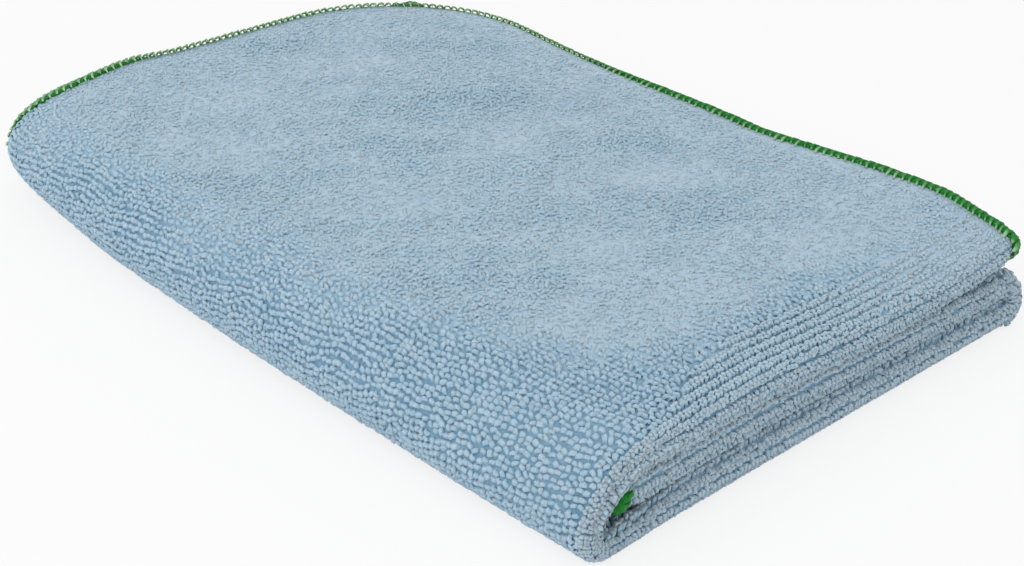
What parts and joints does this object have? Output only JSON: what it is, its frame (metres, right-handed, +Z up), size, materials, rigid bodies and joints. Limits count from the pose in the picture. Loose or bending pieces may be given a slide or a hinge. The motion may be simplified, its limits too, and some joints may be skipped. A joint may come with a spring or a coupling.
{
  "type": "folded terry hand towel",
  "caption": "Light blue looped terry hand towel with rounded corners and a green overlocked edge, folded in half and then in thirds, lying flat.",
  "frame": {"origin": "middle of the folded outline, at the flat underside", "axes": "+Z up; -Y is the side of the first fold, -X the big outer wrap, +X the free end of the top third, +Y the free long edges"},
  "size_m": [0.1386, 0.2056, 0.0238],
  "materials": {
    "terry": "matte looped pile",
    "thread": "satin polyester thread"
  },
  "bodies": {
    "root": {"terry_cloth": "terry", "overlock_edging": "thread"}
  },
  "joints": []
}
